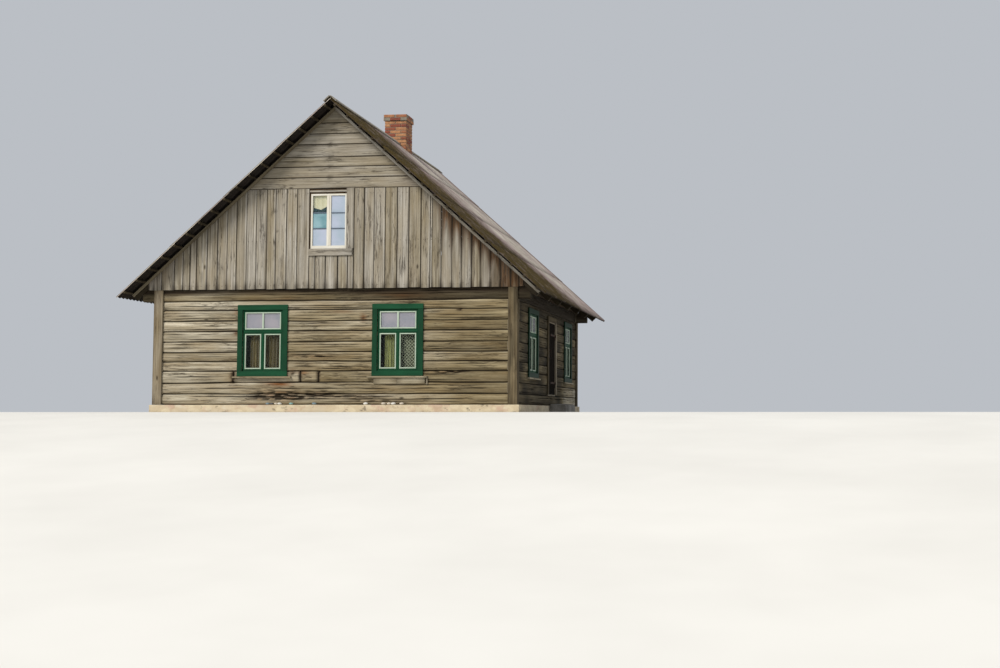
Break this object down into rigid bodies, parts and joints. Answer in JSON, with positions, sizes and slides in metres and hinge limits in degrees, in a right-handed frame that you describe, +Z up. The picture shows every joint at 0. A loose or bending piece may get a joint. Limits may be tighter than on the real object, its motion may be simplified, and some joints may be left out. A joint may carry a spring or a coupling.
{
  "type": "log cabin",
  "caption": "Hewn-log farmhouse with boarded gables, a steep corrugated roof on rafters, glazed windows and a hinged side door",
  "frame": {"origin": "on the ground at the middle of the plan", "axes": "+X to the entrance side, -Y to the front gable, +Z up"},
  "size_m": [8.86, 8.2, 6.9543],
  "materials": {
    "masonry": "rough lime render over stone",
    "step_stone": "rough grey stone",
    "brick": "old red brick",
    "floor_wood": "worn boards",
    "hewn_log": "weathered grey hewn logs",
    "frame_wood": "rough sawn, brown",
    "batten_wood": "rough sawn, weathered",
    "gable_wood": "weathered silver grey boards",
    "trim_wood": "weathered grey boards",
    "roof_sheet": "weathered grey corrugated sheet with moss",
    "green_paint": "worn deep green paint",
    "white_paint": "worn cream white paint",
    "glass": "old window glass",
    "door_wood": "very dark brown boards",
    "iron": "rusty black iron"
  },
  "bodies": {
    "house": {"foundation": "masonry", "door_step": "step_stone", "chimney_stack": "brick", "chimney_crown": "brick", "floorboards": "floor_wood", "attic_floor": "floor_wood", "log_wall_front": "hewn_log", "log_wall_back": "hewn_log", "log_wall_left": "hewn_log", "log_wall_right": "hewn_log", "floor_joists": "frame_wood", "wall_plates": "frame_wood", "ceiling_beams": "frame_wood", "rafters_left": "frame_wood", "rafters_right": "frame_wood", "gable_studs": "frame_wood", "roof_battens_left": "batten_wood", "roof_battens_right": "batten_wood", "gable_boards_front": "gable_wood", "gable_boards_back": "gable_wood", "gable_peak_front": "gable_wood", "gable_peak_back": "gable_wood", "verge_strips": "gable_wood", "attic_window_trims": "gable_wood", "ridge_boards": "gable_wood", "corner_boards": "trim_wood", "window_sills": "trim_wood", "door_casing": "trim_wood", "roof_covering_left": "roof_sheet", "roof_covering_right": "roof_sheet", "window_casings": "green_paint", "window_frames_front": "green_paint", "window_frames_back": "green_paint", "window_frames_left": "green_paint", "window_frames_right": "green_paint", "attic_window_frames": "white_paint", "window_glass": "glass", "attic_window_glass": "glass", "door_frame": "door_wood", "door_pintles": "iron"},
    "door": {"door_leaf": "door_wood", "door_straps": "iron", "door_handle": "iron"}
  },
  "joints": [
    {"name": "door_hinge", "type": "hinge", "parent": "house", "child": "door", "pos_m": [3.766, 0.5975, 1.2], "axis": [0, 0, 1], "range_deg": [0, 110]}
  ]
}
